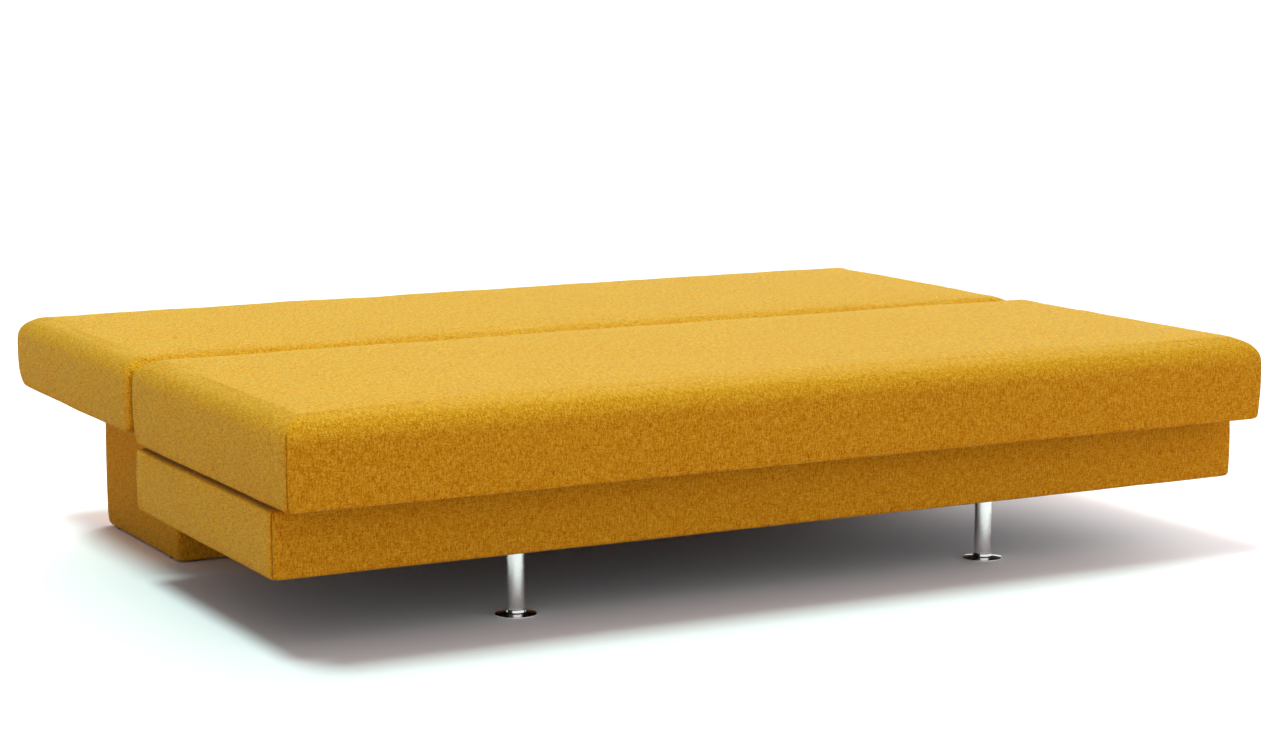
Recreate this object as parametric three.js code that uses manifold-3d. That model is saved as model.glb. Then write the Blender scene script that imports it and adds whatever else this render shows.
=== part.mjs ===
// Click clack sofa bed, laid flat as a double bed.
// Units are millimetres. +Z is up, the front of the seat faces -Y, and +X runs along the bed.
// The origin is on the floor under the middle of the bed.
// The seat half lifts at its front to open the bedding box, and the back half rises to make a sofa.

import * as THREE from 'three';
import { mergeVertices } from 'three/addons/utils/BufferGeometryUtils.js';
import Module from 'manifold-3d';

const wasm = await Module();
wasm.setup();

// Bed surface
const bedWidth = 2000;
const bedDepth = 1500;
const bedHeight = 409;
const seatDepth = 774;
const seatThickness = 149;
const backThickness = 138;
const seamGap = 3;

// Cushion shape
const crownHeight = 7;
const outerTopRadius = 45;
const seamTopRadius = 36;
const endTopRadius = 38;
const frontHemRadius = 7;
const seamHemRadius = 27;
const rearHemRadius = 46;
const frontCornerRadius = 9;
const seamCornerRadius = 16;
const rearCornerRadius = 24;
const sideBelly = 3;
const cornerSteps = 4;
const longSteps = 9;
const shortSteps = 5;
const hemSteps = 4;
const sideSteps = 3;
const topSteps = 5;
const crownScaleShares = [0.88, 0.68, 0.44, 0.2];

// Clearances shared by every piece
const fitGap = 0.3;
const cutOverrun = 20;
const mergeTolerance = 0.001;

// Bedding box under the seat
const boxEndInset = 6.5;
const boxHeight = 117;
const boxSetback = 82;
const boxSeamInset = 8;
const seatRestHeight = 8;

// Plinth under the back
const plinthEndInset = 121;
const plinthSetback = 118;
const plinthRearInset = 182;
const backRestHeight = 9;
const plinthHemRadius = 26;
const plinthHemSteps = 6;
const glideDiameter = 18;
const glideHeight = 5;
const glideInset = 60;

// Boards and cloth of the box and plinth
const boardThickness = 18;
const bottomPanelThickness = 12;
const coverThickness = 4;
const coverLip = 24;
const coverCornerRadius = 5;

// Mattress frames
const railWidth = 25;
const deckThickness = 8;
const dustCoverThickness = 2;
const frameHeight = 55;
const seatFrameEndInset = 40;
const seatFrameFrontInset = 36;
const seatFrameSeamInset = 35;
const backFrameRearInset = 50;

// Rubber buffers that the two mattresses rest on
const bufferDiameter = 18;
const bufferInset = 129;
const bufferSegments = 20;

// Front legs
const legSpacingShare = 0.497;
const legSetback = 121;
const legDiameter = 32;
const legWall = 2;
const legPlateSize = 90;
const legPlateThickness = 4;
const footDiameter = 75;
const footEdgeHeight = 3;
const footDomeHeight = 3;
const collarDiameter = 37;
const collarTopDiameter = 34;
const collarHeight = 5;
const spigotHeight = 12;
const roundSegments = 40;

// Stretchers between the box and the plinth
const stretcherInset = 79;
const stretcherSize = 40;
const stretcherWall = 2;
const stretcherFlangeSize = 84;
const stretcherFlangeThickness = 5;
const stretcherRise = 57;

// Click clack hinges
const pivotDepth = 18;
const pivotDiameter = 8;
const pivotHeadDiameter = 15;
const pivotHeadThickness = 3;
const pinClearance = 0.3;
const pinSegments = 20;
const hingeEyeRadius = 9;
const bracketThickness = 6;
const bracketReach = 44;
const bracketFlangeWidth = 64;
const bracketFlangeThickness = 5;
const bracketHeight = 92;
const bracketTopDrop = 10;
const ratchetThickness = 6;
const armThickness = 5;
const armLength = 230;
const armHeight = 32;
const plateClearance = 0.3;
const eyeSteps = 12;

// Ratchet and pawl of each hinge, with angles counted from +Y towards +Z
const ratchetTipRadius = 30;
const toothDepth = 4;
const toothCount = 9;
const toothRampShare = 0.85;
const ratchetStart = THREE.MathUtils.degToRad(-108);
const ratchetEnd = THREE.MathUtils.degToRad(-2);
const pawlPivotRadius = 49;
const pawlPivotAngle = THREE.MathUtils.degToRad(-68);
const pawlNoseAngle = THREE.MathUtils.degToRad(-90);
const pawlNoseClearance = 0.6;
const pawlNoseWidth = 3;
const pawlBossRadius = 6.5;
const pawlPinDiameter = 6;
const pawlPinHeadDiameter = 11;
const pawlPinHeadThickness = 2;
const springWireDiameter = 1.2;
const springSideClearance = 0.5;
const springBoreClearance = 0.8;
const springTurns = 3;
const springPitch = 1.9;
const springStepsPerTurn = 8;
const springWireSides = 5;

// Opening in the mattresses round each hinge
const slotSideClearance = 5;
const slotTopClearance = 1.5;
const slotBackReach = 38;

// Finishes
const mustardCloth = new THREE.MeshStandardMaterial({ color: 0xd99a1c, roughness: 0.95, metalness: 0 });
const plainCloth = new THREE.MeshStandardMaterial({ color: 0x2b2a28, roughness: 0.95, metalness: 0 });
const beechWood = new THREE.MeshStandardMaterial({ color: 0xc79a66, roughness: 0.6, metalness: 0 });
const birchPly = new THREE.MeshStandardMaterial({ color: 0xd8b988, roughness: 0.6, metalness: 0 });
const chromedSteel = new THREE.MeshStandardMaterial({ color: 0xd8d8d6, roughness: 0.18, metalness: 1 });
const blackSteel = new THREE.MeshStandardMaterial({ color: 0x26272a, roughness: 0.5, metalness: 0.6 });
const zincSteel = new THREE.MeshStandardMaterial({ color: 0xa6a8a8, roughness: 0.4, metalness: 1 });
const blackRubber = new THREE.MeshStandardMaterial({ color: 0x1c1c1c, roughness: 0.9, metalness: 0 });

// Places that follow from the sizes
const bedHalf = bedWidth / 2;
const seatFrontY = -bedDepth / 2;
const seatSeamY = seatFrontY + seatDepth;
const backSeamY = seatSeamY + seamGap;
const backRearY = bedDepth / 2;
const seatUnderside = bedHeight - seatThickness;
const backUnderside = bedHeight - backThickness;
const boxHalf = bedHalf - boxEndInset;
const boxFrontY = seatFrontY + boxSetback;
const boxRearY = seatSeamY - boxSeamInset;
const boxTop = seatUnderside - seatRestHeight;
const boxUnderside = boxTop - boxHeight;
const plinthHalf = bedHalf - plinthEndInset;
const plinthFrontY = boxRearY + plinthSetback;
const plinthRearY = backRearY - plinthRearInset;
const plinthHeight = backUnderside - backRestHeight;
const coverInset = coverThickness + fitGap;
const plinthCoverLow = glideHeight - coverThickness;
const pivotY = (seatSeamY + backSeamY) / 2;
const pivotZ = bedHeight - crownHeight - pivotDepth;

// The hinge is a stack of plates along X, from the seat's side rail inwards to the pawl spring.
const seatArmOuterX = bedHalf - seatFrameEndInset - railWidth - fitGap;
const seatArmInnerX = seatArmOuterX - armThickness;
const bracketOuterX = seatArmInnerX - plateClearance;
const bracketInnerX = bracketOuterX - bracketThickness;
const ratchetOuterX = bracketInnerX - plateClearance;
const ratchetInnerX = ratchetOuterX - ratchetThickness;
const backArmOuterX = ratchetInnerX - plateClearance;
const backArmInnerX = backArmOuterX - armThickness;
const springOuterX = backArmInnerX - springSideClearance;
const springInnerX = springOuterX - springPitch * springTurns - springWireDiameter;
const pawlPinHeadX = springInnerX - springSideClearance;
const slotOuterX = seatArmOuterX + pivotHeadThickness + slotSideClearance;
const slotInnerX = pawlPinHeadX - pawlPinHeadThickness - slotSideClearance;
const [pawlPivotY, pawlPivotZ] = polar([pivotY, pivotZ], pawlPivotRadius, pawlPivotAngle);

// Both ends of the bed: the side of X that each lies on, and its name.
const ends = [
  { side: -1, hand: 'left' },
  { side: 1, hand: 'right' },
];

// Two places along X on one side of the bed, in rising order.
function span(side, first, second) {
  return [side * first, side * second].sort((a, b) => a - b);
}

// Solid helpers

function solidOf(geometry) {
  const bare = geometry.clone();
  bare.deleteAttribute('normal');
  bare.deleteAttribute('uv');
  const merged = mergeVertices(bare, mergeTolerance);
  const vertProperties = new Float32Array(merged.attributes.position.array);
  const triVerts = new Uint32Array(merged.index.array);
  return new wasm.Manifold(new wasm.Mesh({ numProp: 3, vertProperties, triVerts }));
}

function geometryOf(solid) {
  const mesh = solid.getMesh();
  const geometry = new THREE.BufferGeometry();
  geometry.setAttribute('position', new THREE.BufferAttribute(new Float32Array(mesh.vertProperties), 3));
  geometry.setIndex(new THREE.BufferAttribute(new Uint32Array(mesh.triVerts), 1));
  geometry.computeVertexNormals();
  return geometry;
}

function cutAway(geometry, ...tools) {
  let solid = solidOf(geometry);
  for (const tool of tools) {
    solid = solid.subtract(solidOf(tool));
  }
  return geometryOf(solid);
}

function joined(geometry, ...others) {
  let solid = solidOf(geometry);
  for (const other of others) {
    solid = solid.add(solidOf(other));
  }
  return geometryOf(solid);
}

// A block between two opposite corners.
function block(low, high) {
  const geometry = new THREE.BoxGeometry(high[0] - low[0], high[1] - low[1], high[2] - low[2]);
  geometry.translate((low[0] + high[0]) / 2, (low[1] + high[1]) / 2, (low[2] + high[2]) / 2);
  return geometry;
}

// A round bar along X between two places.
function barAlongX(diameter, lowX, highX, y, z) {
  const geometry = new THREE.CylinderGeometry(diameter / 2, diameter / 2, highX - lowX, pinSegments);
  geometry.rotateZ(Math.PI / 2);
  geometry.translate((lowX + highX) / 2, y, z);
  return geometry;
}

// A short upright cylinder standing at a place on the XY plane.
function standingDisc(diameter, height, segments) {
  const geometry = new THREE.CylinderGeometry(diameter / 2, diameter / 2, height, segments);
  geometry.rotateX(Math.PI / 2);
  geometry.translate(0, 0, height / 2);
  return geometry;
}

// A turned piece about Z, from a profile of [radius, height] pairs run anticlockwise.
function turned(profile) {
  const geometry = new THREE.LatheGeometry(
    profile.map(([radius, height]) => new THREE.Vector2(radius, height)),
    roundSegments,
  );
  geometry.rotateX(Math.PI / 2);
  return geometry;
}

// A plate standing across X, from an outline given as [y, z] pairs.
function plateAcrossX(outline, lowX, highX) {
  const shape = new THREE.Shape(outline.map(([y, z]) => new THREE.Vector2(y, z)));
  const geometry = new THREE.ExtrudeGeometry(shape, { depth: highX - lowX, bevelEnabled: false });
  const turn = new THREE.Matrix4().makeBasis(
    new THREE.Vector3(0, 1, 0),
    new THREE.Vector3(0, 0, 1),
    new THREE.Vector3(1, 0, 0),
  );
  geometry.applyMatrix4(turn);
  geometry.translate(lowX, 0, 0);
  return geometry;
}

// A prism standing on a height, from an outline given as [x, y] pairs.
function prism(outline, low, high) {
  const shape = new THREE.Shape(outline.map(([x, y]) => new THREE.Vector2(x, y)));
  const geometry = new THREE.ExtrudeGeometry(shape, { depth: high - low, bevelEnabled: false });
  geometry.translate(0, 0, low);
  return geometry;
}

// The point at a radius and angle about a centre, as a pair.
function polar(centre, radius, angle) {
  return [centre[0] + radius * Math.cos(angle), centre[1] + radius * Math.sin(angle)];
}

// Points on an arc about a centre, as pairs, with both ends included.
function arcPoints(centre, radius, startAngle, endAngle, steps) {
  return Array.from({ length: steps + 1 }, (_, i) => {
    return polar(centre, radius, startAngle + ((endAngle - startAngle) * i) / steps);
  });
}

function addMesh(group, name, geometry, material) {
  const mesh = new THREE.Mesh(geometry, material);
  mesh.name = name;
  group.add(mesh);
  return mesh;
}

// A plain board between two opposite corners, placed by its mesh's position.
function addBoard(group, name, low, high, material) {
  const size = low.map((value, axis) => high[axis] - value);
  const mesh = addMesh(group, name, new THREE.BoxGeometry(...size), material);
  mesh.position.set(...low.map((value, axis) => (high[axis] + value) / 2));
}

// A closed outline with rounded corners, seen from above and run anticlockwise from the front right.
function roundedOutline(halfX, frontY, rearY, frontRadius, rearRadius) {
  const quarter = Math.PI / 2;
  const centres = [
    { x: halfX - frontRadius, y: frontY + frontRadius, radius: frontRadius },
    { x: halfX - rearRadius, y: rearY - rearRadius, radius: rearRadius },
    { x: rearRadius - halfX, y: rearY - rearRadius, radius: rearRadius },
    { x: frontRadius - halfX, y: frontY + frontRadius, radius: frontRadius },
  ];
  const corners = centres.map(({ x, y, radius }, index) => {
    return arcPoints([x, y], radius, (index - 1) * quarter, index * quarter, cornerSteps);
  });
  return corners.flatMap((corner, index) => {
    const last = corner[corner.length - 1];
    const next = corners[(index + 1) % corners.length][0];
    const steps = index % 2 === 0 ? shortSteps : longSteps;
    const between = Array.from({ length: steps - 1 }, (_, i) => {
      const share = (i + 1) / steps;
      return [last[0] + (next[0] - last[0]) * share, last[1] + (next[1] - last[1]) * share];
    });
    return [...corner, ...between];
  });
}

// Cushion form

// How far a round edge stands in from its wall, a given rise past the start of the arc.
function arcInset(rise, radius) {
  if (rise <= 0) {
    return 0;
  }
  return radius - Math.sqrt(Math.max(0, radius * radius - rise * rise));
}

// How far a wall stands in from its widest at a height: round hem, slight belly and round top edge.
function wallInset(z, low, high, hemRadius, topRadius) {
  const across = (2 * (z - low)) / (high - low) - 1;
  const belly = sideBelly * across * across;
  return belly + arcInset(low + hemRadius - z, hemRadius) + arcInset(z - high + topRadius, topRadius);
}

// Heights of the cushion's rings, close together round the hem and the top edge.
function ringHeights(low, high, hemRadius, topRadius) {
  const quarter = Math.PI / 2;
  const sideLow = low + hemRadius;
  const sideHigh = high - topRadius;
  const hem = arcPoints([0, sideLow], hemRadius, -quarter, 0, hemSteps).map(([, z]) => z);
  const top = arcPoints([0, sideHigh], topRadius, 0, quarter, topSteps).map(([, z]) => z);
  const side = Array.from({ length: sideSteps - 1 }, (_, i) => {
    return sideLow + ((sideHigh - sideLow) * (i + 1)) / sideSteps;
  });
  return [...hem, ...side, ...top];
}

// Joins rings of equal count into a closed skin with a flat bottom and a peak at the top.
function skinOfRings(rings, bottomCentre, topCentre) {
  const count = rings[0].length;
  const positions = [...rings.flat(2), ...bottomCentre, ...topCentre];
  const bottom = rings.length * count;
  const top = bottom + 1;
  const lastRing = bottom - count;
  const indices = [];
  for (let i = 0; i < count; i += 1) {
    const next = (i + 1) % count;
    indices.push(bottom, next, i, top, lastRing + i, lastRing + next);
    for (let start = 0; start < lastRing; start += count) {
      const above = start + count;
      indices.push(start + i, start + next, above + next, start + i, above + next, above + i);
    }
  }
  const geometry = new THREE.BufferGeometry();
  geometry.setAttribute('position', new THREE.Float32BufferAttribute(positions, 3));
  geometry.setIndex(indices);
  geometry.computeVertexNormals();
  return geometry;
}

// A mattress cushion with bellied walls, round edges and a crowned top.
function cushionForm(shape) {
  const { frontY, rearY, low } = shape;
  const high = bedHeight - crownHeight;
  const middleY = (frontY + rearY) / 2;
  const tallestHem = Math.max(shape.frontHem, shape.rearHem);
  const rings = ringHeights(low, high, tallestHem, outerTopRadius).map((z) => {
    const front = wallInset(z, low, high, shape.frontHem, shape.frontTop);
    const rear = wallInset(z, low, high, shape.rearHem, shape.rearTop);
    const end = wallInset(z, low, high, frontHemRadius, endTopRadius);
    const outline = roundedOutline(
      bedHalf - end,
      frontY + front,
      rearY - rear,
      shape.frontCorner,
      shape.rearCorner,
    );
    return outline.map(([x, y]) => [x, y, z]);
  });
  const topRing = rings[rings.length - 1];
  for (const scale of crownScaleShares) {
    const rise = crownHeight * (1 - scale * scale);
    rings.push(topRing.map(([x, y]) => [x * scale, middleY + (y - middleY) * scale, high + rise]));
  }
  return skinOfRings(rings, [0, middleY, low], [0, middleY, bedHeight]);
}

// Room in a mattress round the plates of one hinge.
function hingeSlot(side, lowY, highY, low) {
  const [lowX, highX] = span(side, slotInnerX, slotOuterX);
  return block([lowX, lowY, low - cutOverrun], [highX, highY, pivotZ + hingeEyeRadius + slotTopClearance]);
}

// Mattress frame: four rails, a deck on them and a dust cover below, in a pocket of the cushion

function framePocket(frame) {
  return block(
    [-frame.halfX - fitGap, frame.frontY - fitGap, frame.low - cutOverrun],
    [frame.halfX + fitGap, frame.rearY + fitGap, frame.high + fitGap],
  );
}

function addFrame(group, prefix, frame) {
  const railLow = frame.low + dustCoverThickness + fitGap;
  const railHigh = frame.high - deckThickness - fitGap;
  const crossRails = [
    { place: 'front', endX: frame.frontRailEndX, lowY: frame.frontY },
    { place: 'rear', endX: frame.rearRailEndX, lowY: frame.rearY - railWidth },
  ];
  for (const { place, endX, lowY } of crossRails) {
    const name = `${prefix}_${place}_rail`;
    addBoard(group, name, [-endX, lowY, railLow], [endX, lowY + railWidth, railHigh], beechWood);
  }
  for (const { side, hand } of ends) {
    const [lowX, highX] = span(side, frame.halfX - railWidth, frame.halfX);
    const name = `${prefix}_${hand}_rail`;
    addBoard(group, name, [lowX, frame.frontY, railLow], [highX, frame.rearY, railHigh], beechWood);
  }
  const deckLow = railHigh + fitGap;
  const clothHigh = frame.low + dustCoverThickness;
  const { halfX, frontY, rearY } = frame;
  addBoard(group, `${prefix}_deck`, [-halfX, frontY, deckLow], [halfX, rearY, frame.high], birchPly);
  addBoard(group, `${prefix}_dust_cover`, [-halfX, frontY, frame.low], [halfX, rearY, clothHigh], plainCloth);
}

// Hinge arms: an L with its foot along a side rail and its eye on the pivot

function armLow(frame) {
  return (frame.low + frame.high - armHeight) / 2;
}

function armPlate(side, frame, direction, innerX, outerX) {
  const low = armLow(frame);
  const high = low + armHeight;
  const outline = [
    [-hingeEyeRadius, low],
    [armLength, low],
    [armLength, high],
    [hingeEyeRadius, high],
    ...arcPoints([0, pivotZ], hingeEyeRadius, 0, Math.PI, eyeSteps),
  ].map(([along, z]) => [pivotY + direction * along, z]);
  const [lowX, highX] = span(side, innerX, outerX);
  return cutAway(plateAcrossX(outline, lowX, highX), pivotHole(lowX, highX));
}

function pivotHole(lowX, highX) {
  return barAlongX(pivotDiameter + 2 * pinClearance, lowX - cutOverrun, highX + cutOverrun, pivotY, pivotZ);
}

// Seat half

const seatFrame = {
  halfX: bedHalf - seatFrameEndInset,
  frontY: seatFrontY + seatFrameFrontInset,
  rearY: seatSeamY - seatFrameSeamInset,
  low: seatUnderside,
  high: seatUnderside + frameHeight,
  frontRailEndX: seatArmOuterX,
  rearRailEndX: seatArmInnerX - fitGap,
};

function seatHalf() {
  const seat = new THREE.Group();
  const form = cushionForm({
    frontY: seatFrontY,
    rearY: seatSeamY,
    low: seatUnderside,
    frontHem: frontHemRadius,
    rearHem: seamHemRadius,
    frontTop: outerTopRadius,
    rearTop: seamTopRadius,
    frontCorner: frontCornerRadius,
    rearCorner: seamCornerRadius,
  });
  const slots = ends.map(({ side }) => {
    return hingeSlot(side, seatFrame.rearY, seatSeamY + cutOverrun, seatUnderside);
  });
  addMesh(seat, 'seat_cushion', cutAway(form, framePocket(seatFrame), ...slots), mustardCloth);
  addFrame(seat, 'seat', seatFrame);
  for (const { side, hand } of ends) {
    const arm = armPlate(side, seatFrame, -1, seatArmInnerX, seatArmOuterX);
    addMesh(seat, `${hand}_hinge_seat_arm`, arm, blackSteel);
  }
  return seat;
}

// Back half, with the pawl pins and springs that its hinge arms carry

const backFrame = {
  halfX: backArmInnerX - fitGap,
  frontY: backSeamY + slotBackReach,
  rearY: backRearY - backFrameRearInset,
  low: backUnderside,
  high: backUnderside + frameHeight,
  frontRailEndX: backArmInnerX - railWidth - 2 * fitGap,
  rearRailEndX: backArmInnerX - railWidth - 2 * fitGap,
};

// Room in the cushion for an arm's foot, outside the frame.
function backArmChannel(side) {
  const [lowX, highX] = span(side, backArmInnerX - fitGap, backArmOuterX + fitGap);
  return block(
    [lowX, backFrame.frontY - fitGap, backFrame.low - cutOverrun],
    [highX, pivotY + armLength + fitGap, armLow(backFrame) + armHeight + fitGap],
  );
}

// The middle line of a coil that winds about an axis along X.
class CoilLine extends THREE.Curve {
  constructor(lowX, radius, y, z) {
    super();
    Object.assign(this, { lowX, radius, y, z });
  }

  getPoint(t, target = new THREE.Vector3()) {
    const angle = 2 * Math.PI * springTurns * t;
    return target.set(
      this.lowX + springPitch * springTurns * t,
      this.y + this.radius * Math.cos(angle),
      this.z + this.radius * Math.sin(angle),
    );
  }
}

function pawlSpring(side) {
  const [lowX] = span(side, springInnerX, springOuterX);
  const wireRadius = springWireDiameter / 2;
  const radius = pawlPinDiameter / 2 + springBoreClearance + wireRadius;
  const line = new CoilLine(lowX + wireRadius, radius, pawlPivotY, pawlPivotZ);
  const section = arcPoints([0, 0], wireRadius, 0, 2 * Math.PI, springWireSides).slice(1);
  const shape = new THREE.Shape(section.map(([x, y]) => new THREE.Vector2(x, y)));
  return new THREE.ExtrudeGeometry(shape, { extrudePath: line, steps: springTurns * springStepsPerTurn });
}

function pawlPin(side) {
  const [lowX, highX] = span(side, pawlPinHeadX, ratchetOuterX - fitGap);
  const [headLowX, headHighX] = span(side, pawlPinHeadX - pawlPinHeadThickness, pawlPinHeadX);
  return joined(
    barAlongX(pawlPinDiameter, lowX, highX, pawlPivotY, pawlPivotZ),
    barAlongX(pawlPinHeadDiameter, headLowX, headHighX, pawlPivotY, pawlPivotZ),
  );
}

function pawlPinHole(lowX, highX) {
  const diameter = pawlPinDiameter + 2 * pinClearance;
  return barAlongX(diameter, lowX - cutOverrun, highX + cutOverrun, pawlPivotY, pawlPivotZ);
}

// The back arm has an ear towards the rear that carries the pawl pin.
function backArm(side) {
  const [lowX, highX] = span(side, backArmInnerX, backArmOuterX);
  const ear = plateAcrossX(
    [
      [pivotY, pawlPivotZ - 2 * pawlBossRadius],
      [pawlPivotY, pawlPivotZ - pawlBossRadius],
      ...arcPoints([pawlPivotY, pawlPivotZ], pawlBossRadius, 0, Math.PI / 2, eyeSteps),
      [pivotY, pawlPivotZ + 2 * pawlBossRadius],
    ],
    lowX,
    highX,
  );
  const arm = joined(armPlate(side, backFrame, 1, backArmInnerX, backArmOuterX), ear);
  return cutAway(arm, pawlPinHole(lowX, highX));
}

function backHalf() {
  const back = new THREE.Group();
  const form = cushionForm({
    frontY: backSeamY,
    rearY: backRearY,
    low: backUnderside,
    frontHem: seamHemRadius,
    rearHem: rearHemRadius,
    frontTop: seamTopRadius,
    rearTop: outerTopRadius,
    frontCorner: seamCornerRadius,
    rearCorner: rearCornerRadius,
  });
  const slots = ends.map(({ side }) => {
    return hingeSlot(side, backSeamY - cutOverrun, backFrame.frontY, backUnderside);
  });
  const channels = ends.map(({ side }) => backArmChannel(side));
  const cushion = cutAway(form, framePocket(backFrame), ...slots, ...channels);
  addMesh(back, 'back_cushion', cushion, mustardCloth);
  addFrame(back, 'back', backFrame);
  for (const { side, hand } of ends) {
    addMesh(back, `${hand}_hinge_back_arm`, backArm(side), blackSteel);
    addMesh(back, `${hand}_pawl_pin`, pawlPin(side), zincSteel);
    addMesh(back, `${hand}_pawl_spring`, pawlSpring(side), zincSteel);
  }
  return back;
}

// Pawls, each in the plane of its ratchet with its nose just clear of the teeth

function pawl(side) {
  const [lowX, highX] = span(side, ratchetInnerX, ratchetOuterX);
  const noseRadius = ratchetTipRadius + pawlNoseClearance + pawlNoseWidth / 2;
  const noseCentre = polar([pivotY, pivotZ], noseRadius, pawlNoseAngle);
  const towardsNose = Math.atan2(noseCentre[1] - pawlPivotZ, noseCentre[0] - pawlPivotY);
  const quarter = Math.PI / 2;
  const nose = arcPoints(noseCentre, pawlNoseWidth / 2, towardsNose - quarter, towardsNose + quarter, 2);
  const boss = arcPoints(
    [pawlPivotY, pawlPivotZ],
    pawlBossRadius,
    towardsNose + quarter,
    towardsNose + 3 * quarter,
    eyeSteps,
  );
  return cutAway(plateAcrossX([...nose, ...boss], lowX, highX), pawlPinHole(lowX, highX));
}

function pawls() {
  const group = new THREE.Group();
  for (const { side, hand } of ends) {
    addMesh(group, `${hand}_pawl`, pawl(side), zincSteel);
  }
  return group;
}

// Hinge parts that stand on the base

// A plate that stands on a flange behind the bedding box and rises to the pivot.
function hingeBracket(side) {
  const nearY = boxRearY + fitGap;
  const high = boxTop - bracketTopDrop;
  const low = high - bracketHeight;
  const throat = boxTop + fitGap;
  const [lowX, highX] = span(side, bracketInnerX, bracketOuterX);
  const plate = plateAcrossX(
    [
      [nearY, low],
      [nearY + bracketReach, low],
      [nearY + bracketReach, high],
      [pivotY + hingeEyeRadius, backUnderside],
      ...arcPoints([pivotY, pivotZ], hingeEyeRadius, 0, Math.PI, eyeSteps),
      [pivotY - hingeEyeRadius, throat],
      [nearY, throat],
    ],
    lowX,
    highX,
  );
  const middleX = (lowX + highX) / 2;
  const flangeHalf = bracketFlangeWidth / 2;
  const flange = block(
    [middleX - flangeHalf, nearY, low],
    [middleX + flangeHalf, nearY + bracketFlangeThickness, high],
  );
  return cutAway(joined(plate, flange), pivotHole(lowX, highX));
}

// A toothed sector below the pivot. The steep faces stop the back from falling.
function ratchet(side) {
  const [lowX, highX] = span(side, ratchetInnerX, ratchetOuterX);
  const centre = [pivotY, pivotZ];
  const step = (ratchetEnd - ratchetStart) / toothCount;
  const rootRadius = ratchetTipRadius - toothDepth;
  const teeth = Array.from({ length: toothCount }, (_, i) => {
    const rootAngle = ratchetStart + i * step;
    const tipAngle = rootAngle + toothRampShare * step;
    return [polar(centre, rootRadius, rootAngle), polar(centre, ratchetTipRadius, tipAngle)];
  }).flat();
  const hub = arcPoints(centre, hingeEyeRadius, ratchetEnd, ratchetStart + 2 * Math.PI, 2 * eyeSteps);
  return cutAway(plateAcrossX([...teeth, ...hub], lowX, highX), pivotHole(lowX, highX));
}

function pivotPin(side) {
  const innerX = backArmInnerX - fitGap;
  const outerX = seatArmOuterX + fitGap;
  const [lowX, highX] = span(side, innerX, outerX);
  return joined(
    barAlongX(pivotDiameter, lowX, highX, pivotY, pivotZ),
    barAlongX(pivotHeadDiameter, lowX - pivotHeadThickness, lowX, pivotY, pivotZ),
    barAlongX(pivotHeadDiameter, highX, highX + pivotHeadThickness, pivotY, pivotZ),
  );
}

// Bedding box

function addBeddingBox(base) {
  const outline = roundedOutline(boxHalf, boxFrontY, boxRearY, coverCornerRadius, coverCornerRadius);
  const cavity = block(
    [coverThickness - boxHalf, boxFrontY + coverThickness, boxUnderside + coverThickness],
    [boxHalf - coverThickness, boxRearY - coverThickness, boxTop - coverThickness],
  );
  const mouth = block(
    [coverLip - boxHalf, boxFrontY + coverLip, boxUnderside - cutOverrun],
    [boxHalf - coverLip, boxRearY - coverLip, boxTop + cutOverrun],
  );
  addMesh(base, 'box_cover', cutAway(prism(outline, boxUnderside, boxTop), cavity, mouth), mustardCloth);

  const outerX = boxHalf - coverInset;
  const innerX = outerX - boardThickness;
  const frontY = boxFrontY + coverInset;
  const rearY = boxRearY - coverInset;
  const low = boxUnderside + coverInset;
  const high = boxTop - coverInset;
  const frontInnerY = frontY + boardThickness;
  const rearInnerY = rearY - boardThickness;
  addBoard(base, 'box_front_board', [-outerX, frontY, low], [outerX, frontInnerY, high], birchPly);
  addBoard(base, 'box_rear_board', [-outerX, rearInnerY, low], [outerX, rearY, high], birchPly);
  const insideFrontY = frontInnerY + fitGap;
  const insideRearY = rearInnerY - fitGap;
  for (const { side, hand } of ends) {
    const [lowX, highX] = span(side, innerX, outerX);
    const name = `box_${hand}_board`;
    addBoard(base, name, [lowX, insideFrontY, low], [highX, insideRearY, high], birchPly);
  }
  const panelX = innerX - fitGap;
  const panelLow = [-panelX, insideFrontY, low];
  const panelHigh = [panelX, insideRearY, low + bottomPanelThickness];
  addBoard(base, 'box_bottom_panel', panelLow, panelHigh, birchPly);
}

// Plinth

// The plinth's outline seen from its end, drawn in from its cloth, with a round lower rear edge.
function plinthSection(inset) {
  const arcCentre = [plinthRearY - plinthHemRadius, plinthCoverLow + plinthHemRadius];
  const top = plinthHeight - inset;
  return [
    [plinthFrontY + inset, plinthCoverLow + inset],
    ...arcPoints(arcCentre, plinthHemRadius - inset, -Math.PI / 2, 0, plinthHemSteps),
    [plinthRearY - inset, top],
    [plinthFrontY + inset, top],
  ];
}

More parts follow.
